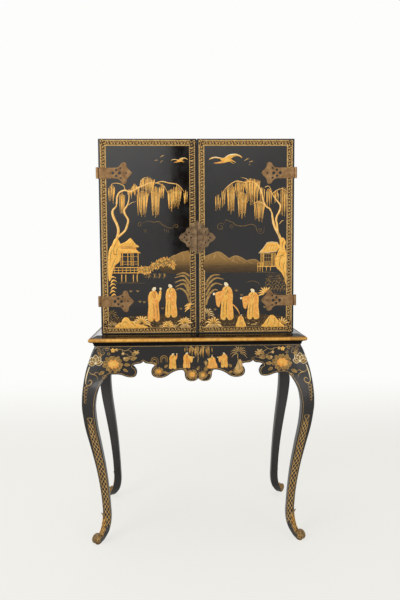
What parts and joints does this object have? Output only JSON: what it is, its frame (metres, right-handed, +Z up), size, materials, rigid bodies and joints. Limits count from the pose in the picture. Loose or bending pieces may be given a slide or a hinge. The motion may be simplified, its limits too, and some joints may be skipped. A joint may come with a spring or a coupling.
{
  "type": "cabinet on stand",
  "caption": "Black lacquered two-door cabinet with gilt chinoiserie and brass strap hinges, on a stand with a scalloped apron and cabriole legs.",
  "frame": {"origin": "on the floor under the middle of the stand", "axes": "+Z up, the doors face -Y, +X to the right as seen from the front"},
  "size_m": [0.7938, 0.5058, 1.4],
  "materials": {
    "black_lacquer": "polished black lacquer with raised gilt ornament",
    "red_lacquer": "satin red lacquer",
    "gilt_wood": "water gilded wood, lightly rubbed",
    "bare_wood": "bare planed softwood",
    "brass": "antique patinated brass"
  },
  "bodies": {
    "root": {"cabinet_top": "black_lacquer", "cabinet_bottom": "black_lacquer", "cabinet_side_left": "black_lacquer", "cabinet_side_right": "black_lacquer", "cabinet_back": "black_lacquer", "shelf_lower": "red_lacquer", "shelf_upper": "red_lacquer", "bolt_keeper_upper": "brass", "bolt_keeper_lower": "brass", "hinge_leaf_left_upper": "brass", "hinge_leaf_left_lower": "brass", "hinge_leaf_right_upper": "brass", "hinge_leaf_right_lower": "brass", "hinge_pin_left_upper": "brass", "hinge_pin_left_lower": "brass", "hinge_pin_right_upper": "brass", "hinge_pin_right_lower": "brass", "stand_top": "black_lacquer", "stand_moulding_front": "gilt_wood", "stand_moulding_back": "gilt_wood", "stand_moulding_left": "gilt_wood", "stand_moulding_right": "gilt_wood", "apron_front": "black_lacquer", "apron_back": "black_lacquer", "apron_left": "black_lacquer", "apron_right": "black_lacquer", "leg_front_left": "black_lacquer", "leg_front_right": "black_lacquer", "leg_back_left": "black_lacquer", "leg_back_right": "black_lacquer", "corner_block_front_left": "bare_wood", "corner_block_front_right": "bare_wood", "corner_block_back_left": "bare_wood", "corner_block_back_right": "bare_wood", "locating_peg_front_left": "bare_wood", "locating_peg_front_right": "bare_wood", "locating_peg_back_left": "bare_wood", "locating_peg_back_right": "bare_wood"},
    "left_door": {"door_left": "black_lacquer", "hinge_strap_left_upper": "brass", "hinge_strap_left_lower": "brass", "lock_plate_left": "brass", "lock_strike": "brass", "bolt_guide_upper": "brass", "bolt_guide_lower": "brass"},
    "right_door": {"door_right": "black_lacquer", "hinge_strap_right_upper": "brass", "hinge_strap_right_lower": "brass", "lock_plate_right": "brass", "lock_case": "brass"},
    "lock_bolt": {"lock_bolt": "brass"},
    "upper_bolt": {"slide_bolt_upper": "brass"},
    "lower_bolt": {"slide_bolt_lower": "brass"}
  },
  "joints": [
    {"name": "left_door_hinge", "type": "hinge", "parent": "root", "child": "left_door", "pos_m": [-0.3366, -0.1926, 1.0675], "axis": [0, 0, -1], "range_deg": [0, 180]},
    {"name": "right_door_hinge", "type": "hinge", "parent": "root", "child": "right_door", "pos_m": [0.3366, -0.1926, 1.0675], "axis": [0, 0, 1], "range_deg": [0, 180]},
    {"name": "lock_bolt_slide", "type": "slide", "parent": "right_door", "child": "lock_bolt", "axis": [-1, 0, 0], "range_m": [0, 0.01]},
    {"name": "upper_bolt_slide", "type": "slide", "parent": "left_door", "child": "upper_bolt", "axis": [0, 0, 1], "range_m": [0, 0.01]},
    {"name": "lower_bolt_slide", "type": "slide", "parent": "left_door", "child": "lower_bolt", "axis": [0, 0, -1], "range_m": [0, 0.01]}
  ]
}
